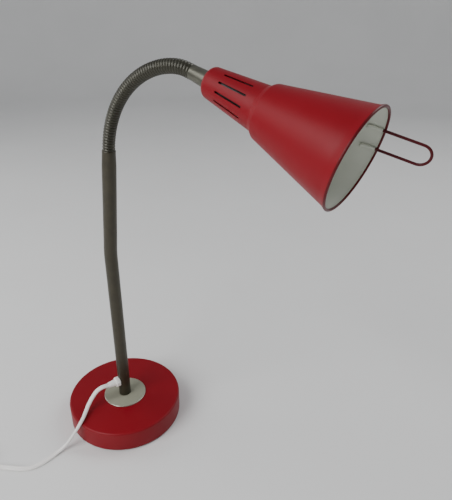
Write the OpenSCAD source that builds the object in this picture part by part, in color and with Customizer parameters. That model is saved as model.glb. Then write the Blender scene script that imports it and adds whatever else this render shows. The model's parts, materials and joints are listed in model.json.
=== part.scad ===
// Gooseneck desk lamp: a weighted round base, a slightly bent stem, a flexible
// neck and a one-piece conical shade with a wire handle, on an inline-switched cord.
// Origin: centre of the underside. +Z is up and the lamp reaches towards +X.

/* [Base] */
// Radius of the painted base cover
base_r = 78; // [60:1:95]
// Height of the base
base_h = 31; // [24:1:40]
// Radius of the grey disc around the stem
disc_r = 29.3; // [22:0.1:36]
// Thickness of the grey disc
disc_t = 1.5; // [1:0.1:3]
// Thickness of the foot pad
pad_t = 2; // [1:0.5:3]

/* [Stem] */
// Outer radius of the stem tube
stem_r = 8.2; // [8:0.1:10]
// Height at which the stem starts to bend
stem_straight = 252; // [150:1:300]
// Angle of the bend in the stem
stem_bend = 6.5; // [0.5:0.5:15]
// Length of the bend along the stem
stem_arc = 15.5; // [10:0.5:30]
// Length of the stem above the bend
stem_upper = 125.6; // [80:0.1:160]
// Length of the narrowed end of the stem
swage_len = 22; // [15:1:30]
// Outer radius at the narrowed end
swage_r = 7.6; // [7.4:0.1:7.9]

/* [Neck] */
// Outer radius of the flexible neck
neck_r = 7; // [6.9:0.1:7]
// Number of pivots that stand for the neck's flexing
pivots = 12; // [12]
// Distance between pivots
pitch = 13.9; // [13.5:0.1:16]
// Distance from the end of the stem to the first pivot
first_pivot = 7.1; // [6.5:0.1:9]
// Distance from the last pivot to the collar
last_pivot = 11.3; // [10.5:0.1:14]
// Bend at rest at each pivot
rest_bend = 7.4; // [4:0.1:9]
// Extra bend at rest at the last pivots
tuck_bend = 8.4; // [0:0.1:12]

/* [Shade] */
// Length of the collar behind the shade
collar_len = 19.5; // [16:0.1:22]
// Radius at the back of the shade's rear housing
rear_r = 14.3; // [14:0.1:15]
// Radius at the front of the rear housing
rear_front_r = 20.3; // [20:0.1:22]
// Length of the rear housing
rear_len = 56.8; // [55:0.1:60]
// Length of the step from the housing to the cone
step_len = 9.3; // [9:0.1:11]
// Radius at the back of the cone
cone_back_r = 24.9; // [24.5:0.1:27]
// Radius at the mouth of the cone
mouth_r = 44; // [43:0.5:48]
// Length of the cone
cone_len = 83; // [82:1:88]
// Thickness of the steel
shade_wall = 0.8; // [0.6:0.1:1]
// Width of a cooling slot
slot_w = 1.8; // [1:0.1:2.5]

/* [Handle] */
// Radius of the handle's wire
wire_r = 1.25; // [1:0.05:1.5]
// Half the distance between the wire's legs
handle_half = 9; // [8:0.5:10]
// Straight length in front of the mouth
handle_out = 33; // [28:1:40]
// Place of the handle around the mouth
handle_turn = 78; // [70:1:90]

/* [Cord] */
// Width of the flat cord
cord_w = 6.2; // [5.6:0.1:6.4]
// Thickness of the flat cord
cord_t = 3.8; // [3.2:0.1:4]
// Height of the grommet on the stem
grommet_z = 56; // [52:1:60]
// Compass angle of the grommet
grommet_turn = 250; // [245:1:255]

/* [Hidden] */
$fn = 64;
gap = 0.3;

// Colours
RED = [0.55, 0.10, 0.12];
DARK_RED = [0.40, 0.07, 0.09];
BRONZE_GREY = [0.30, 0.29, 0.25];
DISC_GREY = [0.47, 0.48, 0.43];
STEEL = [0.70, 0.71, 0.72];
IRON = [0.28, 0.28, 0.29];
BRASS = [0.75, 0.62, 0.35];
WHITE = [0.92, 0.91, 0.88];
BLACK = [0.10, 0.10, 0.10];

// Base
base_wall = 1.2;
base_fillet = 2.5;
plate_t = 1.2;
weight_r = 68;
weight_z = 12;
boss_r = 6;
boss_ring = 50;
screw_r = 1.9;
screw_head_r = 3.6;
stud_r = 5;
nut_h = 6;
washer_t = 1.5;

// Stem
stem_bore = 7;
bush_h = 15;
bend_radius = stem_arc / (stem_bend * PI / 180);
bend_half = bend_radius * tan(stem_bend / 2);
stem_knee = stem_straight + bend_half;
knee_up = stem_upper + bend_half;
knee_swell = 0.12;
cable_r = 3;
grommet_hole_r = 4.3;

// Neck: each pivot is the centre of a ball-shaped seat between two links
neck_bore = 4.2;
seat_r = 9;
neck_grip = 15;
stop_len = 8;
function pivot_bend(i) = rest_bend + tuck_bend * pow(i / (pivots - 1), 12);
function heading(i) = i == 0 ? stem_bend : heading(i - 1) + pivot_bend(i - 1);
function along(a, d) = [d * sin(a), 0, d * cos(a)];
stem_end = [bend_radius * (1 - cos(stem_bend)), 0, stem_straight + bend_radius * sin(stem_bend)]
    + along(stem_bend, stem_upper);
function pivot_at(i) = i == 0 ? stem_end + along(stem_bend, first_pivot)
    : pivot_at(i - 1) + along(heading(i), pitch);
head_angle = heading(pivots);
head_at = pivot_at(pivots - 1) + along(head_angle, last_pivot);

// Shade, measured along its axis from the end of the neck
rear_z = collar_len;
step_z = rear_z + rear_len;
cone_z = step_z + step_len;
mouth_z = cone_z + cone_len;
rear_round = 6;
bead_r = 1.3;
nipple_bore = 3.2;
slot_from = rear_z + 18.5;
slot_to = rear_z + 49;
slot_turns = [28, 58, 88, 118];
cone_angle = atan((mouth_r - cone_back_r) / cone_len);
rear_angle = atan((rear_front_r - rear_r) / (rear_len - rear_round));

// Lampholder and bulb, along the same axis
holder_cap_z = 24;
holder_z = 36;
holder_len = 36;
holder_r = 13;
shell_z = 42;
shell_len = 22;
shell_r = 7.7;
bulb_cap_r = 7;
bulb_cap_len = 28;
bulb_cap_z = 45;
bulb_r = 22.5;
bulb_z = 99;

// Cord: its route from the grommet over the base and along the floor to the coil
grommet_reach = 24;
flange_r = 7.4;
route = [
    [-8.2, -22.6, 56], [-11, -30.5, 56.8], [-14, -38, 53.8], [-15.5, -46, 46.8], [-15, -54, 40],
    [-12, -62, 35.3], [-7.5, -70, 34], [-4.5, -77, 32.8], [-4.2, -84, 27.6], [-6.4, -91, 19.2],
    [-9.3, -97.6, 10.8], [-12.3, -105, 4.8], [-14, -113.6, 2.6], [-14.8, -124, 2],
    [-16.3, -135.3, 2], [-21, -146.4, 2], [-30.2, -155.6, 2.4], [-41.5, -162.9, 2.9],
    [-52.5, -169.6, 3.1], [-63, -176.3, 3.4], [-74.4, -184.3, 4.2], [-86.5, -191.5, 4.5],
    [-99.5, -199, 4.5], [-112, -206.2, 4.5], [-125, -213.7, 4.4], [-138, -221.2, 4]];
// Twist of the cord's broad side from level, by place along the route
function cord_twist(i) =
    lookup(i, [[0, 15], [2, 15], [6, -40], [10, -42], [13, 0], [15, 0], [18, 68], [20.5, 0],
               [23.5, 0], [25, 90]]);
function plug_twist(i) = lookup(i, [[0, 90], [3, 0]]);
coil_at = [-171.4, -191.1];
coil_turn = 210;
coil_in_r = 28.9;
coil_out_r = 45.1;
coil_h = 12.5;
coil_lift = 0.8;
tie_half = 3.5;
tie_t = 0.8;
plug_route = [[-215.6, -200.5, 9.8], [-219.6, -193.5, 9.3], [-224.1, -185.7, 8.5], [-228.6, -177.9, 8]];
plug_turn = 120;
plug_z = 8;

// Switch on the cord
switch_at = [-99.5, -199, 0];
switch_len = 58;
switch_w = 26;
switch_split = 9;
switch_top = 18;
switch_cord_z = 4.5;
rocker_half = 8.4;
rocker_w = 9.4;
rocker_pivot_z = 13;
rocker_pin_r = 1.5;
rocker_tilt = -6;
switch_screw_x = 22;

module ring(outer, inner, h) {
    difference() {
        cylinder(r = outer, h = h);
        translate([0, 0, -1])
            cylinder(r = inner, h = h + 2);
    }
}

module at_head() {
    translate(head_at)
        rotate([0, head_angle, 0])
            children();
}

module on_stem(z) {
    translate([0, 0, z])
        children();
}

// Along the stem's leaning upper part, with the knee at height zero
module above_bend() {
    translate(stem_end)
        rotate([0, stem_bend, 0])
            translate([0, 0, -knee_up])
                children();
}

// The bend is a knee between two straight lengths
module knee_ball(r) {
    translate([0, 0, stem_knee])
        sphere(r = r + knee_swell);
}

// ---------- Base ----------

module base_profile(r, z0, z1, fillet) {
    square_top = z1 - fillet;
    translate([0, z0])
        square([r, square_top - z0]);
    translate([0, z0])
        square([r - fillet, z1 - z0]);
    translate([r - fillet, square_top])
        circle(r = fillet);
}

module base_cover() {
    color(RED)
        difference() {
            rotate_extrude($fn = 180)
                intersection() {
                    base_profile(base_r, pad_t, base_h, base_fillet);
                    square([base_r, base_h]);
                }
            translate([0, 0, pad_t - 1])
                cylinder(r = base_r - base_wall, h = base_h - base_wall - pad_t + 1, $fn = 180);
            cylinder(r = stud_r, h = base_h + 1);
        }
}

module boss_places() {
    for (a = [30, 150, 270])
        rotate([0, 0, a])
            translate([boss_ring, 0, 0])
                children();
}

module base_weight() {
    color(IRON)
        difference() {
            union() {
                translate([0, 0, weight_z])
                    cylinder(r = weight_r, h = base_h - base_wall - weight_z, $fn = 120);
                boss_places()
                    translate([0, 0, pad_t + plate_t])
                        cylinder(r = boss_r, h = weight_z - pad_t - plate_t + 1);
            }
            cylinder(r = stud_r, h = base_h);
            boss_places()
                cylinder(r = screw_r, h = weight_z + 4);
        }
}

module plate_screw() {
    translate([0, 0, pad_t]) {
        cylinder(r1 = screw_head_r, r2 = screw_r, h = plate_t);
        cylinder(r = screw_r, h = weight_z + 4 - pad_t);
    }
}

module base_plate() {
    color(STEEL)
        difference() {
            translate([0, 0, pad_t])
                cylinder(r = base_r - base_wall - gap, h = plate_t, $fn = 120);
            boss_places()
                plate_screw();
        }
}

module plate_screws() {
    color(STEEL)
        boss_places()
            plate_screw();
}

module foot_pad() {
    color(BLACK)
        cylinder(r = base_r - 5, h = pad_t, $fn = 120);
}

module stem_disc() {
    color(DISC_GREY)
        difference() {
            translate([0, 0, base_h])
                cylinder(r = disc_r, h = disc_t, $fn = 120);
            translate([0, 0, base_h - 1])
                cylinder(r = stem_r, h = disc_t + 2);
        }
}

// ---------- Stem ----------

module at_grommet() {
    translate([0, 0, grommet_z])
        rotate([0, 90, grommet_turn])
            children();
}

module stem_tube() {
    color(BRONZE_GREY)
        difference() {
            union() {
                on_stem(base_h)
                    cylinder(r = stem_r, h = stem_knee - base_h);
                knee_ball(stem_r);
                above_bend() {
                    cylinder(r = stem_r, h = knee_up - swage_len);
                    translate([0, 0, knee_up - swage_len])
                        cylinder(r1 = stem_r, r2 = swage_r, h = swage_len);
                }
            }
            on_stem(base_h - 1)
                cylinder(r = stem_bore, h = stem_knee - base_h + 1);
            knee_ball(stem_bore);
            above_bend()
                cylinder(r = stem_bore, h = knee_up + 1);
            at_grommet()
                cylinder(r = grommet_hole_r, h = stem_r + 2);
        }
}

module stem_bush() {
    color(STEEL)
        on_stem(base_h)
            ring(stem_bore, stud_r, bush_h);
}

module stem_stud() {
    color(STEEL)
        on_stem(weight_z - washer_t - nut_h - 1)
            cylinder(r = stud_r, h = base_h + bush_h - weight_z + washer_t + nut_h);
}

module stem_washer() {
    color(STEEL)
        on_stem(weight_z - washer_t)
            ring(11, stud_r, washer_t);
}

module stem_nut() {
    color(STEEL)
        on_stem(weight_z - washer_t - nut_h)
            difference() {
                cylinder(r = 9.2, h = nut_h, $fn = 6);
                translate([0, 0, -1])
                    cylinder(r = stud_r, h = nut_h + 2);
            }
}

module stem_cable() {
    cable_start = grommet_z + 8;
    color(WHITE) {
        on_stem(cable_start)
            cylinder(r = cable_r, h = stem_knee - cable_start);
        knee_ball(cable_r);
        above_bend()
            cylinder(r = cable_r, h = knee_up);
    }
}

module cord_grommet() {
    flange_from = stem_r;
    flange_to = stem_r + 4.6;
    color(WHITE)
        difference() {
            at_grommet() {
                translate([0, 0, 3.5])
                    cylinder(r = grommet_hole_r, h = flange_from);
                translate([0, 0, flange_from - 1.6])
                    rotate([0, 0, 22.5])
                        cylinder(r = flange_r, h = flange_to - flange_from + 1.6, $fn = 8);
                translate([0, 0, flange_to])
                    cylinder(r1 = 4.8, r2 = 3.7, h = grommet_reach - flange_to);
            }
            at_grommet()
                cylinder(r = cord_w / 2 + 0.1, h = grommet_reach + 1);
            difference() {
                on_stem(base_h)
                    cylinder(r = stem_r, h = 60);
                at_grommet()
                    cylinder(r = grommet_hole_r, h = grommet_reach);
            }
        }
}

// ---------- Neck ----------

module neck_stop_bush() {
    color(STEEL)
        above_bend()
            translate([0, 0, knee_up - neck_grip - stop_len])
                ring(stem_bore, cable_r, stop_len);
}

// A length of neck that ends in a ball centred on the next pivot, at height end
module ball_ended(start, end) {
    ball_edge = sqrt(seat_r * seat_r - neck_r * neck_r);
    translate([0, 0, start])
        cylinder(r = neck_r, h = end + ball_edge - start);
    intersection() {
        translate([0, 0, end])
            sphere(r = seat_r);
        translate([0, 0, end])
            cylinder(r = neck_r, h = seat_r);
    }
}

module seat_hollow() {
    sphere(r = seat_r + gap);
}

module neck_start() {
    color(BRONZE_GREY)
        difference() {
            translate(stem_end)
                rotate([0, stem_bend, 0])
                    ball_ended(-neck_grip, first_pivot);
            translate(stem_end)
                rotate([0, stem_bend, 0])
                    translate([0, 0, -neck_grip - 1])
                        cylinder(r = neck_bore, h = 60);
        }
}

module neck_link(i) {
    color(BRONZE_GREY)
        translate(pivot_at(i - 1))
            rotate([0, heading(i), 0])
                difference() {
                    ball_ended(0, pitch);
                    seat_hollow();
                    cylinder(r = neck_bore, h = 60);
                }
}

module neck_end() {
    color(BRONZE_GREY)
        translate(pivot_at(pivots - 1))
            rotate([0, head_angle, 0])
                difference() {
                    cylinder(r = neck_r, h = last_pivot);
                    seat_hollow();
                    cylinder(r = neck_bore, h = 60);
                }
}

// ---------- Head ----------

module head_collar() {
    color(BRONZE_GREY)
        at_head()
            difference() {
                cylinder(r1 = neck_r, r2 = 7.8, h = collar_len);
                translate([0, 0, -1])
                    cylinder(r = stud_r, h = collar_len + 2);
            }
}

// Points on an arc from angle a0 to a1 around c, in the profile's plane
function arc_points(c, r, a0, a1, n) =
    [for (k = [0 : n]) c + r * [cos(a0 + (a1 - a0) * k / n), sin(a0 + (a1 - a0) * k / n)]];

// Half section of the shade's skin, moved inwards by inset
function skin(inset) = concat(
    [[0, rear_z + inset]],
    arc_points([rear_r - rear_round, rear_z + rear_round], rear_round - inset, -90, -rear_angle, 8),
    arc_points([rear_front_r + 5, step_z - 1], 5 + inset, 180 - rear_angle, 125, 5),
    arc_points([cone_back_r - 6.2, cone_z + 1.5], 6.2 - inset, -52, -cone_angle, 6),
    [[mouth_r - inset, mouth_z]]);

module skin_solid(inset) {
    rotate_extrude($fn = 180)
        polygon(concat(skin(inset), [[0, mouth_z]]));
}

module cooling_slot(turn) {
    length = slot_to - slot_from - slot_w;
    rotate([0, 0, 180 - turn])
        translate([rear_r - 6, 0, slot_from + slot_w / 2])
            rotate([90, 0, 90])
                linear_extrude(height = 16) {
                    translate([-slot_w / 2, 0])
                        square([slot_w, length]);
                    for (y = [0, length])
                        translate([0, y])
                            circle(r = slot_w / 2, $fn = 24);
                }
}

module shade() {
    color(RED)
        at_head() {
            difference() {
                skin_solid(0);
                difference() {
                    skin_solid(shade_wall);
                    translate([0, 0, mouth_z - 0.01])
                        cylinder(r = mouth_r, h = 0.01);
                }
                translate([0, 0, mouth_z - 1])
                    cylinder(r = mouth_r - shade_wall - 0.2, h = 2, $fn = 180);
                translate([0, 0, rear_z - 1])
                    cylinder(r = stud_r, h = 4);
                for (side = [-1, 1], turn = slot_turns)
                    cooling_slot(side * turn);
            }
            translate([0, 0, mouth_z])
                rotate_extrude($fn = 180)
                    translate([mouth_r - 0.3, 0])
                        circle(r = bead_r, $fn = 24);
        }
}

module handle_loop() {
    inside = 12;
    color(DARK_RED)
        at_head()
            rotate([0, 0, 180 - handle_turn])
                translate([40.8, 0, mouth_z])
                    rotate([0, cone_angle, 0]) {
                        for (y = [-handle_half, handle_half])
                            translate([0, y, -inside])
                                cylinder(r = wire_r, h = inside + handle_out, $fn = 32);
                        translate([0, 0, handle_out])
                            rotate([90, 0, 90])
                                rotate_extrude(angle = 180)
                                    translate([handle_half, 0])
                                        circle(r = wire_r, $fn = 32);
                    }
}

module head_nipple() {
    color(STEEL)
        at_head()
            translate([0, 0, 4])
                ring(stud_r, nipple_bore, 26);
}

module head_washer() {
    color(STEEL)
        at_head()
            translate([0, 0, rear_z + shade_wall])
                ring(8, stud_r, 1.2);
}

module head_nut() {
    color(STEEL)
        at_head()
            translate([0, 0, rear_z + shade_wall + 1.2])
                difference() {
                    cylinder(r = 8.1, h = 2.4, $fn = 6);
                    translate([0, 0, -1])
                        cylinder(r = stud_r, h = 5);
                }
}

module head_cable() {
    color(WHITE)
        at_head()
            translate([0, 0, 1])
                cylinder(r = cable_r, h = holder_z - 2);
}

module lampholder_cap() {
    color(BLACK)
        at_head()
            translate([0, 0, holder_cap_z])
                difference() {
                    cylinder(r1 = 9.5, r2 = holder_r, h = holder_z - holder_cap_z);
                    translate([0, 0, 2.5])
                        cylinder(r1 = 7, r2 = holder_r - 2, h = holder_z - holder_cap_z);
                    translate([0, 0, -1])
                        cylinder(r = stud_r, h = 5);
                }
}

module lampholder() {
    color(BLACK)
        at_head()
            translate([0, 0, holder_z])
                difference() {
                    cylinder(r = holder_r, h = holder_len);
                    translate([0, 0, shell_z - holder_z])
                        cylinder(r = shell_r, h = holder_len);
                }
}

module screw_shell() {
    color(BRASS)
        at_head()
            translate([0, 0, shell_z])
                ring(shell_r, bulb_cap_r + 0.1, shell_len);
}

module centre_contact() {
    color(BRASS)
        at_head()
            translate([0, 0, shell_z])
                cylinder(r = 3, h = 1.6);
}

module bulb_cap() {
    color(STEEL)
        at_head() {
            translate([0, 0, shell_z + 1.6])
                cylinder(r = 3, h = bulb_cap_z - shell_z - 1.6);
            translate([0, 0, bulb_cap_z])
                cylinder(r = bulb_cap_r, h = bulb_cap_len);
        }
}

module bulb_glass() {
    throat_z = bulb_cap_z + bulb_cap_len;
    throat_top = bulb_z - sqrt(bulb_r * bulb_r - 13 * 13);
    color([0.95, 0.94, 0.90, 0.6])
        at_head() {
            translate([0, 0, throat_z])
                cylinder(r1 = bulb_cap_r, r2 = 13, h = throat_top - throat_z);
            translate([0, 0, bulb_z])
                sphere(r = bulb_r);
        }
}

// ---------- Cord ----------

function unit(v) = v / norm(v);
function route_heading(p, i) = unit(p[min(i + 1, len(p) - 1)] - p[max(i - 1, 0)]);

module cord_tube(p, twists) {
    n = len(p);
    sides = 12;
    points = [for (i = [0 : n - 1])
        let (t = route_heading(p, i), side = unit(cross(t, [0, 0, 1])), up = cross(side, t),
             broad = cos(twists[i]) * side + sin(twists[i]) * up, thin = cross(broad, t))
        for (k = [0 : sides - 1])
            p[i] + cord_w / 2 * cos(360 * k / sides) * broad
                + cord_t / 2 * sin(360 * k / sides) * thin];
    walls = [for (i = [0 : n - 2], k = [0 : sides - 1])
        let (a = i * sides + k, b = i * sides + (k + 1) % sides)
        [a, b, b + sides, a + sides]];
    near_end = [for (k = [0 : sides - 1]) sides - 1 - k];
    far_end = [for (k = [0 : sides - 1]) (n - 1) * sides + k];
    polyhedron(points = points, faces = concat([near_end], walls, [far_end]));
}

module cord_lead() {
    color(WHITE)
        cord_tube(route, [for (i = [0 : len(route) - 1]) cord_twist(i)]);
}

module plug_lead() {
    color(WHITE)
        cord_tube(plug_route, [for (i = [0 : len(plug_route) - 1]) plug_twist(i)]);
}

module at_coil() {
    translate([coil_at[0], coil_at[1], 0])
        rotate([0, 0, coil_turn])
            children();
}

module cord_coil() {
    color(WHITE)
        at_coil()
            rotate_extrude($fn = 120)
                translate([coil_in_r, coil_lift])
                    square([coil_out_r - coil_in_r, coil_h]);
}

module cord_tie() {
    inner_x = coil_in_r - 0.4;
    width = coil_out_r - inner_x;
    color(BLACK)
        at_coil()
            rotate([0, 0, 150])
                difference() {
                    translate([inner_x - tie_t, -tie_half, 0])
                        cube([width + 2 * tie_t, 2 * tie_half, coil_lift + coil_h + tie_t]);
                    translate([inner_x, -tie_half - 1, coil_lift])
                        cube([width, 2 * tie_half + 2, coil_h]);
                }
}

module at_plug() {
    end = plug_route[len(plug_route) - 1];
    translate([end[0], end[1], plug_z])
        rotate([0, 0, plug_turn])
            rotate([0, 90, 0])
                children();
}

module plug_body() {
    color(WHITE)
        at_plug() {
            cylinder(r1 = 3.8, r2 = 5.4, h = 22);
            translate([0, 0, 22])
                cylinder(r1 = 5.4, r2 = 7.6, h = 6);
            intersection() {
                translate([-plug_z, -12, 26])
                    cube([2 * plug_z, 24, 28]);
                translate([0, 0, 26])
                    cylinder(r1 = 11, r2 = 14, h = 28);
            }
        }
}

module plug_blades() {
    color(BRASS)
        at_plug()
            for (y = [-6.35, 6.35])
                translate([-3.2, y - 0.75, 54])
                    cube([6.4, 1.5, 16]);
}

// ---------- Switch on the cord ----------

module at_switch() {
    translate(switch_at)
        rotate([0, 0, coil_turn])
            children();
}

module switch_outline(inset) {
    end_r = switch_w / 2 - inset;
    straight = switch_len / 2 - switch_w / 2;
    translate([-straight, -end_r])
        square([2 * straight, 2 * end_r]);
    for (x = [-straight, straight])
        translate([x, 0])
            circle(r = end_r);
}

module switch_screw_places() {
    for (x = [-switch_screw_x, switch_screw_x])
        translate([x, 6.5, 0])
            children();
}

module switch_screw() {
    translate([0, 0, 0.8])
        cylinder(r = 2.2, h = 1.4);
    translate([0, 0, 2])
        cylinder(r = 1.2, h = 10);
}

module switch_base() {
    color(WHITE)
        at_switch()
            difference() {
                linear_extrude(height = switch_split)
                    switch_outline(0);
                translate([-switch_len / 2 - 1, -cord_w / 2 - 0.1, switch_cord_z - cord_t / 2 - 0.1])
                    cube([switch_len + 2, cord_w + 0.2, cord_t + 0.2]);
                switch_screw_places() {
                    cylinder(r = 2.2, h = 2.2);
                    cylinder(r = 1.2, h = switch_split + 1);
                }
            }
}

module switch_cover() {
    color(WHITE)
        at_switch()
            difference() {
                translate([0, 0, switch_split])
                    linear_extrude(height = switch_top - switch_split)
                        switch_outline(0);
                translate([-rocker_half - 1.6, -rocker_w / 2 - 0.4, switch_split - 1])
                    cube([2 * rocker_half + 3.2, rocker_w + 0.8, switch_top]);
                translate([0, 8, rocker_pivot_z])
                    rotate([90, 0, 0])
                        cylinder(r = rocker_pin_r + 0.05, h = 16);
                switch_screw_places()
                    cylinder(r = 1.2, h = 12.2);
            }
}

module switch_contacts() {
    color(BRASS)
        at_switch()
            for (x = [-5, 3])
                translate([x, -3, switch_split])
                    cube([2, 6, 0.6]);
}

module switch_screws() {
    color(STEEL)
        at_switch()
            switch_screw_places()
                switch_screw();
}

module switch_rocker() {
    floor_z = -2.2;
    color(RED)
        at_switch()
            translate([0, 0, rocker_pivot_z])
                rotate([0, rocker_tilt, 0]) {
                    translate([0, rocker_w / 2, 0])
                        rotate([90, 0, 0])
                            linear_extrude(height = rocker_w)
                                polygon([[-rocker_half, 0], [-4, floor_z], [4, floor_z],
                                         [rocker_half, 0], [rocker_half, 6.2], [0, 5.2],
                                         [-rocker_half, 6.2]]);
                    translate([0, 7.6, 0])
                        rotate([90, 0, 0])
                            cylinder(r = rocker_pin_r, h = 15.2);
                }
}

base_cover();
base_weight();
base_plate();
foot_pad();
plate_screws();
stem_disc();
stem_tube();
stem_bush();
stem_stud();
stem_washer();
stem_nut();
stem_cable();
cord_grommet();
neck_stop_bush();
neck_start();
neck_link(1);  // neck_link_01
neck_link(2);  // neck_link_02
neck_link(3);  // neck_link_03
neck_link(4);  // neck_link_04
neck_link(5);  // neck_link_05
neck_link(6);  // neck_link_06
neck_link(7);  // neck_link_07
neck_link(8);  // neck_link_08
neck_link(9);  // neck_link_09
neck_link(10);  // neck_link_10
neck_link(11);  // neck_link_11
neck_end();
head_collar();
shade();
handle_loop();
head_nipple();
head_washer();
head_nut();
head_cable();
lampholder_cap();
lampholder();
screw_shell();
centre_contact();
bulb_cap();
bulb_glass();
cord_lead();
cord_coil();
cord_tie();
plug_lead();
plug_body();
plug_blades();
switch_base();
switch_cover();
switch_contacts();
switch_screws();
switch_rocker();
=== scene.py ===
import json
import math

import bmesh
import bpy
import numpy as np
from mathutils import Matrix, Vector

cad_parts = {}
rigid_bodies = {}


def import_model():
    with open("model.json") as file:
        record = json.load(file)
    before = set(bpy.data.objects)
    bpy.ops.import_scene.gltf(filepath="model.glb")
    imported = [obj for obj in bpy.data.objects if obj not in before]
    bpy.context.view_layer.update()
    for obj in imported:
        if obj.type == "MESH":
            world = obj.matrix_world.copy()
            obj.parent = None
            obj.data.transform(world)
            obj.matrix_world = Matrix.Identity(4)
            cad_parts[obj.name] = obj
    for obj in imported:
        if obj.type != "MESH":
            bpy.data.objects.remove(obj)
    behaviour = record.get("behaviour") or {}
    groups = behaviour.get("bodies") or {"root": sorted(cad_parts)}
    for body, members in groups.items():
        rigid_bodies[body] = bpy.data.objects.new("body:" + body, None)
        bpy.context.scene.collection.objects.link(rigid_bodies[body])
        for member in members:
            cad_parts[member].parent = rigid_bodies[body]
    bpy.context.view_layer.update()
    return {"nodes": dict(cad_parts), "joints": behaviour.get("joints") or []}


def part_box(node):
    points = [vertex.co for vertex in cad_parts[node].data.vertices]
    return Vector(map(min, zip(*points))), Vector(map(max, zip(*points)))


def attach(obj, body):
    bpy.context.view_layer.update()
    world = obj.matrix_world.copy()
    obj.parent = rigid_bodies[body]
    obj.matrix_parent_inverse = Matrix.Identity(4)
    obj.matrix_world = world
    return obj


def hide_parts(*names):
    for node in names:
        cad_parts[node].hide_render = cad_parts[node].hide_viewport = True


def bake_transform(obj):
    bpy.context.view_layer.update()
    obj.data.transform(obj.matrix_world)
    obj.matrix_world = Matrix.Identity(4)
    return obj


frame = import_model()

MM = 0.001
UP = Vector((0, 0, 1))


# ---------- Where things are, from the frame ----------

def neck_joints():
    """The neck's joints from the stem to the head, with the bodies that each one joins."""
    chain = []
    body = "base"
    while body != "head":
        joint = next(j for j in frame["joints"]
                     if j["parent"] == body and j["name"].startswith("neck"))
        chain.append(joint)
        body = joint["child"]
    return chain


NECK = neck_joints()
PIVOTS = [Vector(joint["pos_m"]) for joint in NECK]

BASE_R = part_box("base_cover")[1].x
BASE_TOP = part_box("base_cover")[1].z
PAD_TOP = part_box("foot_pad")[1].z
DISC_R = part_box("stem_disc")[1].x
DISC_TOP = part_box("stem_disc")[1].z

# Stem: straight, a short bend, then straight to the neck
STEM_R = 8.2 * MM
STEM_BORE = 7.0 * MM
STEM_STRAIGHT = 252 * MM
STEM_BEND = math.radians(6.5)
STEM_ARC = 15.5 * MM
STEM_UPPER = 125.6 * MM
SWAGE_LEN = 22 * MM
SWAGE_R = 7.6 * MM

# Neck
NECK_R = 7.0 * MM
NECK_GROOVE_R = 5.85 * MM
RIDGE_PITCH = 3.3 * MM
LINK = (PIVOTS[1] - PIVOTS[0]).length
LAST_PIVOT = 11.3 * MM

# Head: its axis runs from the end of the neck to the mouth
REST_BEND = 7.4
TUCK_BEND = 8.4


def bend_at(i):
    """How far pivot i turns the neck at rest, in degrees; the last turns it most."""
    return REST_BEND + TUCK_BEND * (i / (len(NECK) - 1)) ** 12


HEAD_ANGLE = STEM_BEND + sum(math.radians(bend_at(i)) for i in range(len(NECK)))
HEAD_AXIS = Vector((math.sin(HEAD_ANGLE), 0, math.cos(HEAD_ANGLE)))
HEAD_AT = PIVOTS[-1] + HEAD_AXIS * LAST_PIVOT
HEAD = Matrix.Translation(HEAD_AT) @ Matrix.Rotation(HEAD_ANGLE, 4, "Y")

# Cord
CORD_W = 6.2 * MM
CORD_T = 3.8 * MM
GROMMET_Z = 56 * MM
GROMMET_TURN = math.radians(250)
COIL_AT = Vector((-171.4, -191.1, 0)) * MM
SWITCH_AT = Vector((-99.5, -199, 0)) * MM
CORD_TURN = math.radians(210)
PLUG_TURN = math.radians(120)
TIE_TURN = CORD_TURN + math.radians(150)


# ---------- Camera ----------

def make_camera():
    """The camera, where it matches the lamp's picture."""
    data = bpy.data.cameras.new("camera")
    data.lens = 34.635
    data.sensor_width = 36
    data.shift_x, data.shift_y = -0.001, 0.001
    camera = bpy.data.objects.new("camera", data)
    right = Vector((0.8116, 0.5840, 0.0161)).normalized()
    down = Vector((0.2775, -0.3611, -0.8903))
    back = right.cross(-down).normalized()
    up = back.cross(right)
    turn = Matrix((right, up, back)).transposed().to_4x4()
    camera.matrix_world = Matrix.Translation((0.4237, -0.3497, 0.5373)) @ turn
    bpy.context.scene.collection.objects.link(camera)
    bpy.context.scene.camera = camera


make_camera()


# ---------- Materials ----------

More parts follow.
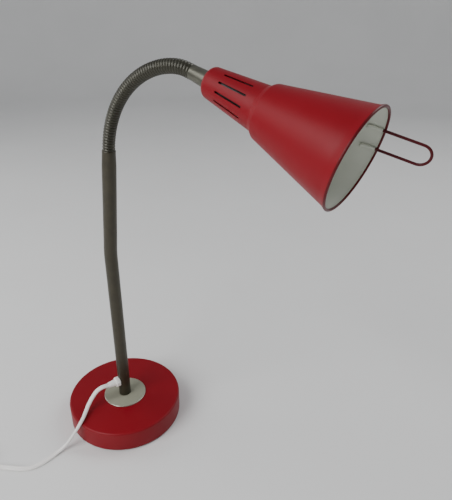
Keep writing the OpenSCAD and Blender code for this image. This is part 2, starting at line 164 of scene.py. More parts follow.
class Finish:
    """A node material with object-space noise to draw on."""

    def __init__(self, name, colour, roughness, metallic=0.0):
        self.material = bpy.data.materials.new(name)
        self.material.use_nodes = True
        self.nodes = self.material.node_tree.nodes
        self.links = self.material.node_tree.links
        self.shader = self.nodes["Principled BSDF"]
        self.set("Base Color", (*colour, 1))
        self.set("Roughness", roughness)
        self.set("Metallic", metallic)
        self.place = self.nodes.new("ShaderNodeTexCoord").outputs["Object"]

    def set(self, socket, value):
        self.shader.inputs[socket].default_value = value

    def stretched(self, scale):
        mapping = self.nodes.new("ShaderNodeMapping")
        mapping.inputs["Scale"].default_value = scale
        self.links.new(self.place, mapping.inputs["Vector"])
        return mapping.outputs["Vector"]

    def noise(self, scale, detail=3.0, place=None):
        node = self.nodes.new("ShaderNodeTexNoise")
        node.inputs["Scale"].default_value = scale
        node.inputs["Detail"].default_value = detail
        self.links.new(place or self.place, node.inputs["Vector"])
        return node.outputs["Fac"]

    def ramp(self, value, low, high, from_low=0.35, from_high=0.65):
        node = self.nodes.new("ShaderNodeMapRange")
        node.inputs["From Min"].default_value = from_low
        node.inputs["From Max"].default_value = from_high
        node.inputs["To Min"].default_value = low
        node.inputs["To Max"].default_value = high
        self.links.new(value, node.inputs["Value"])
        return node.outputs["Result"]

    def colours(self, value, first, second):
        node = self.nodes.new("ShaderNodeMix")
        node.data_type = "RGBA"
        node.inputs["A"].default_value = (*first, 1)
        node.inputs["B"].default_value = (*second, 1)
        self.links.new(value, node.inputs["Factor"])
        self.links.new(node.outputs["Result"], self.shader.inputs["Base Color"])

    def rough(self, value):
        self.links.new(value, self.shader.inputs["Roughness"])

    def bump(self, value, strength, distance):
        node = self.nodes.new("ShaderNodeBump")
        node.inputs["Strength"].default_value = strength
        node.inputs["Distance"].default_value = distance
        self.links.new(value, node.inputs["Height"])
        self.links.new(node.outputs["Normal"], self.shader.inputs["Normal"])


def scaled(colour, factor):
    """A colour, lighter or darker."""
    return tuple(min(1.0, c * factor) for c in colour)


def paint(name, colour, roughness, peel=0.12, coat=0.0):
    """Sprayed enamel: slight orange peel, faint unevenness in gloss and tone."""
    finish = Finish(name, colour, roughness)
    finish.set("Specular IOR Level", 0.24)
    finish.colours(finish.ramp(finish.noise(9, 4), 0, 1), scaled(colour, 0.93), scaled(colour, 1.06))
    finish.rough(finish.ramp(finish.noise(40, 5), roughness * 0.92, roughness * 1.1))
    finish.bump(finish.noise(1100, 2), peel, 0.0002)
    if coat:
        finish.set("Coat Weight", coat)
        finish.set("Coat Roughness", 0.3)
    return finish.material


def metal(name, colour, roughness, metallic=1.0, grain=(40, 40, 900), depth=0.05, shine=0.5):
    """Bare or lacquered metal with a fine drawn grain."""
    finish = Finish(name, colour, roughness, metallic)
    finish.set("Specular IOR Level", shine)
    grained = finish.noise(1.0, 4, finish.stretched(grain))
    finish.colours(finish.ramp(grained, 0, 1), scaled(colour, 0.88), scaled(colour, 1.1))
    finish.rough(finish.ramp(finish.noise(60, 4), roughness * 0.88, roughness * 1.15))
    finish.bump(grained, depth, 0.0002)
    return finish.material


def plastic(name, colour, roughness, texture=600, depth=0.05):
    """Moulded plastic: a fine spark-eroded grain and a little soiling."""
    finish = Finish(name, colour, roughness)
    finish.colours(finish.ramp(finish.noise(30, 5), 0, 1), scaled(colour, 0.94), scaled(colour, 1.02))
    finish.rough(finish.ramp(finish.noise(120, 3), roughness * 0.9, roughness * 1.12))
    finish.bump(finish.noise(texture, 2), depth, 0.0003)
    return finish.material


RED = (0.205, 0.0010, 0.0070)
RED_PAINT = paint("red_paint", RED, 0.44)
# Darker copy of the red paint for the rolled rim: painted shade
SHADED_RIM_PAINT = paint("rim_paint_painted_shade", (0.10, 0.003, 0.006), 0.32)
# Darker copy of the red paint for the handle wire: painted shade
SHADED_WIRE_PAINT = paint("wire_paint_painted_shade", (0.08, 0.003, 0.006), 0.35)
LINING_PAINT = paint("lining_paint", (0.68, 0.70, 0.62), 0.5)
DISC_PAINT = paint("disc_paint", (0.27, 0.27, 0.205), 0.42, peel=0.2)
# Lighter metal for the disc's outer edge band: a painted highlight
DISC_HIGHLIGHT_METAL = metal("disc_painted_highlight", (0.55, 0.55, 0.47), 0.35)
STEM_METAL = metal("stem_metal", (0.038, 0.032, 0.017), 0.36, 0.35, (120, 120, 120), 0.02, 0.7)
NECK_METAL = metal("neck_metal", (0.033, 0.031, 0.018), 0.37, 0.45, (120, 120, 120), 0.02, 0.85)
COLLAR_METAL = metal("collar_metal", (0.11, 0.108, 0.085), 0.36, 0.6, (60, 60, 500), 0.03)
STEEL = metal("steel", (0.55, 0.56, 0.57), 0.3)
IRON = metal("iron", (0.10, 0.10, 0.105), 0.75, 0.6, (250, 250, 250), 0.6)
BRASS = metal("brass", (0.72, 0.52, 0.22), 0.28)
WHITE_PLASTIC = plastic("white_plastic", (0.92, 0.90, 0.86), 0.38)
CORD_PLASTIC = plastic("cord_plastic", (0.93, 0.91, 0.88), 0.45, 250, 0.04)
BLACK_PLASTIC = plastic("black_plastic", (0.02, 0.02, 0.021), 0.45)
FOAM = plastic("foam", (0.025, 0.025, 0.026), 0.9, 1500, 0.6)
ROCKER_RED = plastic("rocker_red", (0.35, 0.012, 0.016), 0.3)


def glass():
    """Opal glass under a thin gloss."""
    finish = Finish("opal_glass", (0.93, 0.92, 0.88), 0.25)
    finish.colours(finish.ramp(finish.noise(25, 3), 0, 1), (0.9, 0.89, 0.85), (0.94, 0.93, 0.9))
    finish.set("Coat Weight", 0.6)
    finish.set("Coat Roughness", 0.05)
    return finish.material


OPAL_GLASS = glass()

CAD_FINISH = {
    "base_weight": IRON, "base_plate": STEEL, "plate_screws": STEEL, "foot_pad": FOAM,
    "stem_bush": STEEL, "stem_stud": STEEL, "stem_washer": STEEL, "stem_nut": STEEL,
    "stem_cable": CORD_PLASTIC, "neck_stop_bush": STEEL, "head_nipple": STEEL,
    "head_washer": STEEL, "head_nut": STEEL, "head_cable": CORD_PLASTIC,
    "lampholder_cap": BLACK_PLASTIC, "lampholder": BLACK_PLASTIC, "screw_shell": BRASS,
    "centre_contact": BRASS, "bulb_cap": STEEL, "plug_blades": BRASS,
    "switch_contacts": BRASS, "switch_screws": STEEL,
}


def finish_cad_nodes():
    for name, material in CAD_FINISH.items():
        data = frame["nodes"][name].data
        data.materials.clear()
        data.materials.append(material)


finish_cad_nodes()


# ---------- Mesh tools ----------

def mesh_object(name, points, faces, materials, sharp=35):
    data = bpy.data.meshes.new(name)
    data.from_pydata([tuple(p) for p in points], [], faces)
    for material in materials:
        data.materials.append(material)
    data.polygons.foreach_set("use_smooth", [True] * len(data.polygons))
    data.update()
    data.set_sharp_from_angle(angle=math.radians(sharp))
    piece = bpy.data.objects.new(name, data)
    bpy.context.scene.collection.objects.link(piece)
    return piece


def grid_faces(rows, columns, loop=False):
    """Quads between neighbouring rings of points, closed round each ring."""
    faces = []
    for i in range(rows if loop else rows - 1):
        a = i * columns
        b = ((i + 1) % rows) * columns
        for k in range(columns):
            n = (k + 1) % columns
            faces.append((a + k, a + n, b + n, b + k))
    return faces


def rounded(corners, steps=8):
    """An outline (radius, height) whose corners (r, z, fillet) are rounded by their fillets."""
    outline = []
    count = len(corners)
    for i, (r, z, fillet) in enumerate(corners):
        here = Vector((r, z))
        if fillet == 0 or i in (0, count - 1):
            outline.append(here)
            continue
        before = (Vector(corners[i - 1][:2]) - here).normalized()
        after = (Vector(corners[i + 1][:2]) - here).normalized()
        half = before.angle(after) / 2
        reach = fillet / math.tan(half)
        centre = here + (before + after).normalized() * (fillet / math.sin(half))
        start = here + before * reach - centre
        end = here + after * reach - centre
        sweep = start.angle_signed(end)
        for k in range(steps + 1):
            outline.append(centre + Matrix.Rotation(-sweep * k / steps, 2) @ start)
    return outline


def lathe(name, outline, materials, place=None, segments=160, closed=True, sharp=35):
    """A solid of revolution about Z; outline is a list of (radius, height)."""
    points = []
    for r, z in outline:
        for k in range(segments):
            a = 2 * math.pi * k / segments
            points.append((r * math.cos(a), r * math.sin(a), z))
    piece = mesh_object(name, points, grid_faces(len(outline), segments, closed), materials, sharp)
    welded = bmesh.new()
    welded.from_mesh(piece.data)
    bmesh.ops.remove_doubles(welded, verts=welded.verts, dist=1e-6)
    bmesh.ops.recalc_face_normals(welded, faces=welded.faces)
    welded.to_mesh(piece.data)
    welded.free()
    piece.data.set_sharp_from_angle(angle=math.radians(sharp))
    if place is not None:
        piece.data.transform(place)
    return piece


def apply_modifier(piece, kind, **settings):
    modifier = piece.modifiers.new(kind.lower(), kind)
    for key, value in settings.items():
        setattr(modifier, key, value)
    graph = bpy.context.evaluated_depsgraph_get()
    data = bpy.data.meshes.new_from_object(piece.evaluated_get(graph))
    piece.modifiers.clear()
    piece.data = data


def smooth_by_angle(piece, angle=35):
    piece.data.polygons.foreach_set("use_smooth", [True] * len(piece.data.polygons))
    piece.data.set_sharp_from_angle(angle=math.radians(angle))


def slab(name, outline, bottom, top, materials, bevel, place, steps=4):
    """An upright slab with bevelled edges; outline is a list of (x, y)."""
    count = len(outline)
    points = [(x, y, z) for z in (bottom, top) for x, y in outline]
    faces = [tuple(reversed(range(count))), tuple(range(count, 2 * count))]
    faces += [(k, (k + 1) % count, count + (k + 1) % count, count + k) for k in range(count)]
    piece = mesh_object(name, points, faces, materials)
    apply_modifier(piece, "BEVEL", width=bevel, segments=steps, limit_method="ANGLE",
                   angle_limit=math.radians(40))
    smooth_by_angle(piece)
    piece.data.transform(place)
    return piece


def joined(name, pieces):
    """One mesh object out of several, keeping their materials."""
    merged = bmesh.new()
    materials = []
    for piece in pieces:
        first = len(merged.faces)
        merged.from_mesh(piece.data)
        merged.faces.ensure_lookup_table()
        for face in merged.faces[first:]:
            material = piece.data.materials[face.material_index]
            if material not in materials:
                materials.append(material)
            face.material_index = materials.index(material)
    data = bpy.data.meshes.new(name)
    merged.to_mesh(data)
    merged.free()
    for material in materials:
        data.materials.append(material)
    for piece in pieces:
        bpy.data.objects.remove(piece)
    result = bpy.data.objects.new(name, data)
    bpy.context.scene.collection.objects.link(result)
    smooth_by_angle(result)
    return result


# ---------- Cord ----------

# The cord's route from the grommet over the base and along the floor, in metres
ROUTE = [
    (-0.0082, -0.0226, 0.056), (-0.011, -0.0305, 0.0568), (-0.014, -0.038, 0.0538),
    (-0.0155, -0.046, 0.0468), (-0.015, -0.054, 0.040), (-0.012, -0.062, 0.0353),
    (-0.0075, -0.070, 0.034), (-0.0045, -0.077, 0.0328), (-0.0042, -0.084, 0.0276),
    (-0.0064, -0.091, 0.0192), (-0.0093, -0.0976, 0.0108), (-0.0123, -0.105, 0.0048),
    (-0.014, -0.1136, 0.0026), (-0.0148, -0.124, 0.002), (-0.0163, -0.1353, 0.002),
    (-0.021, -0.1464, 0.002), (-0.0302, -0.1556, 0.0024), (-0.0415, -0.1629, 0.0029),
    (-0.0525, -0.1696, 0.0031), (-0.063, -0.1763, 0.0034), (-0.0744, -0.1843, 0.0042),
    (-0.0865, -0.1915, 0.0045), (-0.0995, -0.199, 0.0045), (-0.112, -0.2062, 0.0045),
    (-0.125, -0.2137, 0.0044), (-0.138, -0.2212, 0.004)]
PLUG_ROUTE = [(-0.2156, -0.2005, 0.0098), (-0.2196, -0.1935, 0.0093),
              (-0.2241, -0.1857, 0.0085), (-0.2286, -0.1779, 0.008)]

# Twist of the cord's broad side from level, in degrees, by place along the route
TWIST = ((0, 15), (2, 15), (6, -40), (10, -42), (13, 0), (15, 0), (18, 68), (20.5, 0),
         (23.5, 0), (25, 90))

COIL_TURNS_PER_LAYER = 3.0
COIL_CLIMB = 0.25
COIL_START = math.radians(-60)
COIL_OUT = 43 * MM
COIL_IN = 31 * MM
COIL_LOW = 4.0 * MM
COIL_HIGH = 10.2 * MM


def coil_points(per_turn=16):
    """Two layers of turns: inwards along the bottom, up, and outwards on top."""
    total = 2 * COIL_TURNS_PER_LAYER + COIL_CLIMB
    count = round(total * per_turn)
    points = []
    for k in range(count + 1):
        turn = total * k / count
        if turn <= COIL_TURNS_PER_LAYER:
            share = turn / COIL_TURNS_PER_LAYER
            r, z = COIL_OUT + (COIL_IN - COIL_OUT) * share, COIL_LOW
        elif turn <= COIL_TURNS_PER_LAYER + COIL_CLIMB:
            share = (turn - COIL_TURNS_PER_LAYER) / COIL_CLIMB
            r, z = COIL_IN, COIL_LOW + (COIL_HIGH - COIL_LOW) * share
        else:
            share = (turn - COIL_TURNS_PER_LAYER - COIL_CLIMB) / COIL_TURNS_PER_LAYER
            r, z = COIL_IN + (COIL_OUT - COIL_IN) * share, COIL_HIGH
        a = COIL_START - 2 * math.pi * turn
        points.append(COIL_AT + Vector((r * math.cos(a), r * math.sin(a), z)))
    return points


def smooth_path(knots, parts):
    """A curve through the knots (position and twist), as parts steps between each two."""
    curve = []
    last = len(knots) - 1
    for i in range(last):
        before, start, end, after = (knots[max(i - 1, 0)], knots[i], knots[i + 1],
                                     knots[min(i + 2, last)])
        for k in range(parts):
            t = k / parts
            weights = (-0.5 * t ** 3 + t ** 2 - 0.5 * t, 1.5 * t ** 3 - 2.5 * t ** 2 + 1,
                       -1.5 * t ** 3 + 2 * t ** 2 + 0.5 * t, 0.5 * t ** 3 - 0.5 * t ** 2)
            curve.append(sum(w * knot for w, knot in zip(weights, (before, start, end, after))))
    return curve + [knots[-1]]


def cord_section(count=32):
    """Two round cores side by side with a shallow groove between them."""
    core = CORD_T / 2
    apart = (CORD_W - CORD_T) / 2
    section = []
    for k in range(count):
        a = 2 * math.pi * (k + 0.5) / count
        c, s = math.cos(a), math.sin(a)
        side = math.copysign(apart, c)
        # Where the ray from the middle at this angle leaves the core on its side
        along = side * c + math.sqrt(max(0.0, core * core - (side * s) ** 2))
        section.append((along * c, along * s))
    return section


def make_cord():
    """The flat cord as one tube, with its length and its centreline."""
    places, twists = zip(*TWIST)
    knots = [np.array([*p, np.interp(i, places, twists)]) for i, p in enumerate(ROUTE)]
    knots += [np.array([*p, 90.0]) for p in coil_points()]
    knots += [np.array([*p, 90.0 - 30 * i]) for i, p in enumerate(PLUG_ROUTE)]
    curve = smooth_path(knots, 5)
    path = [Vector(knot[:3]) for knot in curve]
    section = cord_section()
    points = []
    for i, centre in enumerate(path):
        along = (path[min(i + 1, len(path) - 1)] - path[max(i - 1, 0)]).normalized()
        side = along.cross(UP).normalized()
        over = side.cross(along)
        twist = math.radians(curve[i][3])
        broad = math.cos(twist) * side + math.sin(twist) * over
        thin = broad.cross(along)
        points += [centre + x * broad + y * thin for x, y in section]
    cord = mesh_object("cord", points, grid_faces(len(path), len(section)), [CORD_PLASTIC], 80)
    length = sum((b - a).length for a, b in zip(path, path[1:]))
    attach(cord, "base")
    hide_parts("cord_lead", "cord_coil", "plug_lead")
    return cord, length, path


def make_plug():
    """A flat moulded plug: ribbed strain relief, then a body that widens to its face."""
    end = Vector(PLUG_ROUTE[-1])
    across, columns = 40, []
    sections = []
    for k in range(45):
        x = 22 * MM * k / 44
        r = (3.6 + 1.9 * k / 44) * MM
        rib = 0.35 * MM if (k // 3) % 2 and 4 < k < 40 else 0
        sections.append((x, r - rib, r - rib, 2.0))
    for x, half_y, half_z, power in ((24, 6.6, 6.0, 2.3), (27, 8.6, 6.8, 2.8), (30, 9.8, 7.3, 3.4),
                                     (34, 10.6, 7.6, 4.0), (44, 11.4, 7.8, 5.0),
                                     (51, 11.8, 7.8, 5.5), (53, 11.6, 7.6, 5.5),
                                     (54, 10.9, 6.9, 5.0), (54, 6, 4, 4.0), (54, 0.1, 0.1, 2.0)):
        sections.append((x * MM, half_y * MM, half_z * MM, power))
    for x, half_y, half_z, power in sections:
        for k in range(across):
            a = 2 * math.pi * k / across
            c, s = math.cos(a), math.sin(a)
            y = half_y * math.copysign(abs(c) ** (2 / power), c)
            z = half_z * math.copysign(abs(s) ** (2 / power), s)
            columns.append((x, y, z))
    plug = mesh_object("plug", columns, grid_faces(len(sections), across), [WHITE_PLASTIC], 40)
    place = Matrix.Translation(end) @ Matrix.Rotation(PLUG_TURN, 4, "Z")
    plug.data.transform(place)
    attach(plug, "base")
    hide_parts("plug_body")
    return plug


def stadium(length, width, steps=14):
    """A slot-shaped outline, from its right end round to the left."""
    straight = (length - width) / 2
    outline = []
    for side in (0, 1):
        for k in range(steps + 1):
            a = -math.pi / 2 + math.pi * (k / steps + side)
            x = (straight if side == 0 else -straight) + width / 2 * math.cos(a)
            outline.append((x, width / 2 * math.sin(a)))
    return outline


SWITCH_LEN = 58 * MM
SWITCH_W = 26 * MM
SWITCH_SPLIT = 8.8 * MM
SWITCH_SEAM = 0.2 * MM
SWITCH_H = 18 * MM
ROCKER_PIVOT_Z = 13 * MM
ROCKER_TILT = math.radians(-6)


def make_switch():
    """The switch on the cord: two half shells and a rocker. Returns its pieces."""
    place = Matrix.Translation(SWITCH_AT) @ Matrix.Rotation(CORD_TURN, 4, "Z")
    outline = stadium(SWITCH_LEN, SWITCH_W)
    low = slab("switch_lower", outline, 0, SWITCH_SPLIT, [WHITE_PLASTIC], 1.2 * MM, place)
    shell = slab("switch_upper", outline, SWITCH_SPLIT + SWITCH_SEAM, SWITCH_H,
                 [WHITE_PLASTIC], 2.2 * MM, place, 6)
    pocket = slab("switch_pocket", [(-10, -5.1), (10, -5.1), (10, 5.1), (-10, 5.1)], 8, 30,
                  [BLACK_PLASTIC], 1.0, Matrix.Scale(MM, 4))
    pocket.data.transform(place)
    apply_modifier(shell, "BOOLEAN", object=pocket, operation="DIFFERENCE", solver="EXACT")
    bpy.data.objects.remove(pocket)
    smooth_by_angle(shell, 30)
    for piece, node in ((low, "switch_base"), (shell, "switch_cover")):
        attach(piece, "base")
        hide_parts(node)
    rocker = make_rocker(place)
    return [low, shell, rocker]


def make_rocker(place):
    """The rocker: two shallow slopes that meet in the middle, tilted to one side."""
    top = [(-8.4, 6.2), (-6.5, 5.75), (-3, 5.3), (0, 5.15), (3, 5.3), (6.5, 5.75), (8.4, 6.2)]
    outline = [(-8.4, 0), (-4, -2.2), (4, -2.2), (8.4, 0)] + list(reversed(top))
    body = slab("switch_rocker_cap", [(x * MM, z * MM) for x, z in outline], -4.7 * MM, 4.7 * MM,
                [ROCKER_RED], 0.6 * MM, Matrix.Rotation(math.pi / 2, 4, "X"))
    body.data.transform(place @ Matrix.Translation((0, 0, ROCKER_PIVOT_Z))
                        @ Matrix.Rotation(ROCKER_TILT, 4, "Y"))
    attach(body, "switch_rocker")
    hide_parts("switch_rocker")
    return body


def make_tie():
    """A soft strap round the coil's turns."""
    slack = 0.1 * MM
    inner, outer = COIL_IN - CORD_T / 2 - slack, COIL_OUT + CORD_T / 2 + slack
    low, high = 0.7 * MM, 13.4 * MM
    thick, half = 0.6 * MM, 3.4 * MM
    corner = 2.6 * MM
    ring = rounded([((inner + outer) / 2, low, 0), (outer, low, corner), (outer, high, corner),
                    (inner, high, corner), (inner, low, corner),
                    ((inner + outer) / 2, low, 0)], 6)[:-1]
    centre = Vector(((inner + outer) / 2, (low + high) / 2))
    points = []
    for inset, y in ((0, -half), (0, half), (thick, half), (thick, -half)):
        for p in ring:
            out = (p - centre).normalized() * (thick - inset)
            points.append((p.x + out.x, y, max(0.05 * MM, p.y + out.y)))
    tie = mesh_object("cord_strap", points, grid_faces(4, len(ring), True), [BLACK_PLASTIC], 40)
    tie.data.transform(Matrix.Translation(COIL_AT) @ Matrix.Rotation(TIE_TURN, 4, "Z"))
    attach(tie, "base")
    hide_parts("cord_tie")
    return tie


cord, cord_length, cord_path = make_cord()
plug = make_plug()
switch_pieces = make_switch()
strap = make_tie()


# ---------- Base ----------

BASE_WALL = 1.2 * MM
BASE_HOLE_R = 5 * MM
DISC_HOLE_R = 8.35 * MM
DISC_HIGHLIGHT_W = 0.75 * MM


def make_base_cover():
    """The turned cover: a rounded top edge, a wall down to the foot pad, open below."""
    inside = BASE_R - BASE_WALL
    outline = rounded([
        (BASE_HOLE_R, BASE_TOP, 0), (BASE_R, BASE_TOP, 2.6 * MM), (BASE_R, PAD_TOP, 0.5 * MM),
        (inside, PAD_TOP, 0.3 * MM), (inside, BASE_TOP - BASE_WALL, 1.5 * MM),
        (BASE_HOLE_R, BASE_TOP - BASE_WALL, 0)], 12)
    cover = lathe("base_shell", outline, [RED_PAINT], segments=256)
    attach(cover, "base")
    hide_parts("base_cover")


def make_disc():
    """The painted disc round the stem, with a painted highlight: a lighter metal band round its edge.
    """
    outline = rounded([
        (DISC_HOLE_R, DISC_TOP, 0), (DISC_R, DISC_TOP, 0.7 * MM), (DISC_R, BASE_TOP, 0.1 * MM),
        (DISC_HOLE_R, BASE_TOP, 0)], 8)
    disc = lathe("stem_plate", outline, [DISC_PAINT, DISC_HIGHLIGHT_METAL], segments=200)
    # Faces near the outer edge take the lighter metal, as a painted highlight
    for face in disc.data.polygons:
        face.material_index = int(math.hypot(face.center.x, face.center.y) > DISC_R - DISC_HIGHLIGHT_W)
    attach(disc, "base")
    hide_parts("stem_disc")


# ---------- Stem ----------

def stem_point(s):
    """(centre, heading from vertical) at length s along the stem, from the base's top."""
    straight = STEM_STRAIGHT - BASE_TOP
    if s <= straight:
        return Vector((0, 0, BASE_TOP + s)), 0.0
    radius = STEM_ARC / STEM_BEND
    arc = min(s - straight, STEM_ARC)
    angle = arc / radius
    point = Vector((radius * (1 - math.cos(angle)), 0, STEM_STRAIGHT + radius * math.sin(angle)))
    rest = max(0.0, s - straight - STEM_ARC)
    return point + rest * Vector((math.sin(angle), 0, math.cos(angle))), angle


STEM_LEN = STEM_STRAIGHT - BASE_TOP + STEM_ARC + STEM_UPPER


def ring_points(centre, angle, radii, segments):
    """A ring round centre, square to a heading in the XZ plane; radii is one or a list."""
    across = Vector((math.cos(angle), 0, -math.sin(angle)))
    side = Vector((0, 1, 0))
    points = []
    for k in range(segments):
        a = 2 * math.pi * k / segments
        r = radii if isinstance(radii, float) else radii[k]
        points.append(centre + r * (math.cos(a) * across + math.sin(a) * side))
    return points


def make_stem():
    """The bent tube, drawn in a little where the neck enters, and open inside."""
    segments = 96
    stations = [(0.0, STEM_R)]
    stations += [(STEM_STRAIGHT - BASE_TOP + STEM_ARC * k / 12, STEM_R) for k in range(13)]
    swage = STEM_LEN - SWAGE_LEN
    for k in range(13):
        share = k / 12
        ease = share * share * (3 - 2 * share)
        stations.append((swage + (SWAGE_LEN - 0.8 * MM) * share, STEM_R + (SWAGE_R - STEM_R) * ease))
    stations.append((STEM_LEN - 0.3 * MM, SWAGE_R - 0.08 * MM))
    stations.append((STEM_LEN, SWAGE_R - 0.35 * MM))
    stations += [(s, STEM_BORE) for s, r in reversed(stations)]
    points = []
    for s, r in stations:
        centre, angle = stem_point(s)
        points += ring_points(centre, angle, float(r), segments)
    stem = mesh_object("stem", points, grid_faces(len(stations), segments, True), [STEM_METAL], 40)
    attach(stem, "base")
    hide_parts("stem_tube")


def make_grommet():
    """An eight-sided flange against the stem and a short tapering nose round the cord."""
    place = (Matrix.Translation((0, 0, GROMMET_Z)) @ Matrix.Rotation(GROMMET_TURN, 4, "Z")
             @ Matrix.Rotation(math.pi / 2, 4, "Y"))
    flange_r, bore, nose_from = 7.4 * MM, 3.02 * MM, 12 * MM
    octagon = [(flange_r * math.cos(a), flange_r * math.sin(a))
               for a in (math.radians(22.5 + 45 * k) for k in range(8))]
    flange = slab("flange", octagon, 6.9 * MM, 12.8 * MM, [WHITE_PLASTIC], 0.7 * MM,
                  Matrix.Identity(4))
    nose = lathe("nose", rounded([
        (bore, nose_from, 0), (5.2 * MM, nose_from, 0), (4.9 * MM, 13.4 * MM, 0.6 * MM),
        (3.7 * MM, 23.8 * MM, 0.5 * MM), (bore, 24.0 * MM, 0)], 6),
        [WHITE_PLASTIC], segments=48)
    grommet = joined("cord_bushing", [flange, nose])
    grommet.data.transform(place)
    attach(grommet, "base")
    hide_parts("cord_grommet")


# ---------- Neck ----------

def link_heading(i):
    """Heading of the stretch below pivot i, for i from 0, or above the last one."""
    return STEM_BEND + sum(math.radians(bend_at(k)) for k in range(i))


def neck_spans():
    """For each pivot: the quadratic curve (start, pivot, end) that rounds it off."""
    stem_end = stem_point(STEM_LEN)[0]
    half = LINK / 2
    spans = []
    for i, pivot in enumerate(PIVOTS):
        below = link_heading(i)
        above = link_heading(i + 1)
        start = stem_end if i == 0 else pivot - half * Vector((math.sin(below), 0, math.cos(below)))
        end = pivot + half * Vector((math.sin(above), 0, math.cos(above)))
        spans.append((start, pivot, end))
    return spans


def span_point(span, t):
    """(point, heading from vertical) at share t of a span."""
    a, b, c = span
    point = a * (1 - t) ** 2 + b * 2 * t * (1 - t) + c * t * t
    slope = (b - a) * (1 - t) + (c - b) * t
    return point, math.atan2(slope.x, slope.z)


def make_neck():
    """The wound hose, one piece over each pivot, its ridges one continuous screw thread."""
    segments, per_pitch = 60, 12
    spans = neck_spans()
    travelled = 0.0
    names = ["neck_start"] + [f"neck_link_{i:02d}" for i in range(1, len(NECK))]
    for i, span in enumerate(spans):
        length = sum((span_point(span, (k + 1) / 20)[0] - span_point(span, k / 20)[0]).length
                     for k in range(20))
        steps = max(24, round(length / RIDGE_PITCH * per_pitch))
        stations = [(*span_point(span, k / steps), travelled + length * k / steps)
                    for k in range(steps + 1)]
        if i == 0:
            lead = 4 * MM
            below = link_heading(0)
            back = Vector((math.sin(below), 0, math.cos(below)))
            stations = [(span[0] - back * lead * (1 - k / 6), below, -lead * (1 - k / 6))
                        for k in range(6)] + stations
        if i == len(spans) - 1:
            tail = (HEAD_AT - span[2]).length + 0.6 * MM
            stations += [(span[2] + HEAD_AXIS * tail * k / 15, HEAD_ANGLE,
                          travelled + length + tail * k / 15) for k in range(1, 16)]
        points = []
        for centre, angle, s in stations:
            radii = []
            for k in range(segments):
                phase = s / RIDGE_PITCH - k / segments
                ridge = abs(math.sin(math.pi * phase)) ** 0.7
                radii.append(NECK_GROOVE_R + (NECK_R - NECK_GROOVE_R) * ridge)
            points += ring_points(centre, angle, radii, segments)
        travelled += length
        hose = mesh_object(f"neck_hose_{i + 1:02d}", points,
                           grid_faces(len(stations), segments), [NECK_METAL], 60)
        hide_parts(names[i])
        if i == len(spans) - 1:
            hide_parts("neck_end")
        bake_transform(hose)


# ---------- Head ----------

COLLAR_LEN = 19.5 * MM
COLLAR_R = 7.8 * MM
COLLAR_BORE = 5.2 * MM
REAR_Z = COLLAR_LEN
REAR_R = 13.69 * MM
SHOULDER_Z = 78.2 * MM
SHOULDER_R = 20.5 * MM
CONE_Z = 85.6 * MM
MOUTH_Z = 168.6 * MM
MOUTH_R = 44 * MM
SKIN = 0.8 * MM
BEAD_R = 1.3 * MM
CONE_ANGLE = math.atan((44 - 24.9) / 83)
SLOT_FROM = 38.0 * MM
SLOT_TO = 68.5 * MM
SLOT_W = 1.8 * MM
SLOT_TURNS = (28, 58, 88, 118)
HANDLE_TURN = math.radians(180 - 78)
HANDLE_FOOT_R = 40.8 * MM


def make_collar():
    """The turned sleeve between the neck and the shade."""
    outline = rounded([
        (COLLAR_BORE, -0.4 * MM, 0), (6.7 * MM, -0.4 * MM, 0.4 * MM),
        (6.9 * MM, 0.8 * MM, 0.5 * MM), (COLLAR_R, COLLAR_LEN - 0.6 * MM, 0.3 * MM),
        (COLLAR_R, COLLAR_LEN, 0), (COLLAR_BORE, COLLAR_LEN, 0)], 6)
    collar = lathe("neck_collar", outline, [COLLAR_METAL], HEAD, 96)
    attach(collar, "head")
    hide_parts("head_collar")


def offset_outline(outline, distance):
    """The outline moved to its right-hand side, point by point."""
    moved = []
    for i, p in enumerate(outline):
        a = outline[max(i - 1, 0)]
        b = outline[min(i + 1, len(outline) - 1)]
        along = (b - a).normalized()
        moved.append(p + Vector((-along.y, along.x)) * distance)
    return moved


def skin_outline():
    """The shade's outer profile: rear face, narrow housing, shoulder, cone."""
    return rounded([
        (5 * MM, REAR_Z, 0), (REAR_R, REAR_Z, 5.5 * MM), (SHOULDER_R, SHOULDER_Z, 5 * MM),
        (24.5 * MM, 83.4 * MM, 6 * MM), (MOUTH_R, MOUTH_Z, 0)], 16)


def dense(outline, step):
    """More points along the straight stretches."""
    result = [outline[0]]
    for a, b in zip(outline, outline[1:]):
        parts = max(1, math.ceil((b - a).length / step))
        result += [a + (b - a) * k / parts for k in range(1, parts + 1)]
    return result


def slot_cutter(turn):
    """A flat peg that cuts one cooling slot, turned about the shade's axis."""
    outline = stadium(SLOT_TO - SLOT_FROM, SLOT_W, 10)
    cutter = slab("slot_cutter", outline, 0, 16 * MM, [SHADED_RIM_PAINT], 0.0001 * MM, Matrix.Identity(4))
    stand = Matrix.Rotation(-math.pi / 2, 4, "Y") @ Matrix.Scale(-1, 4, (0, 0, 1))
    cutter.data.transform(stand)
    cutter.data.flip_normals()
    cutter.data.transform(Matrix.Translation((8 * MM, 0, (SLOT_FROM + SLOT_TO) / 2)))
    cutter.data.transform(Matrix.Rotation(math.radians(180 - turn), 4, "Z"))
    return cutter


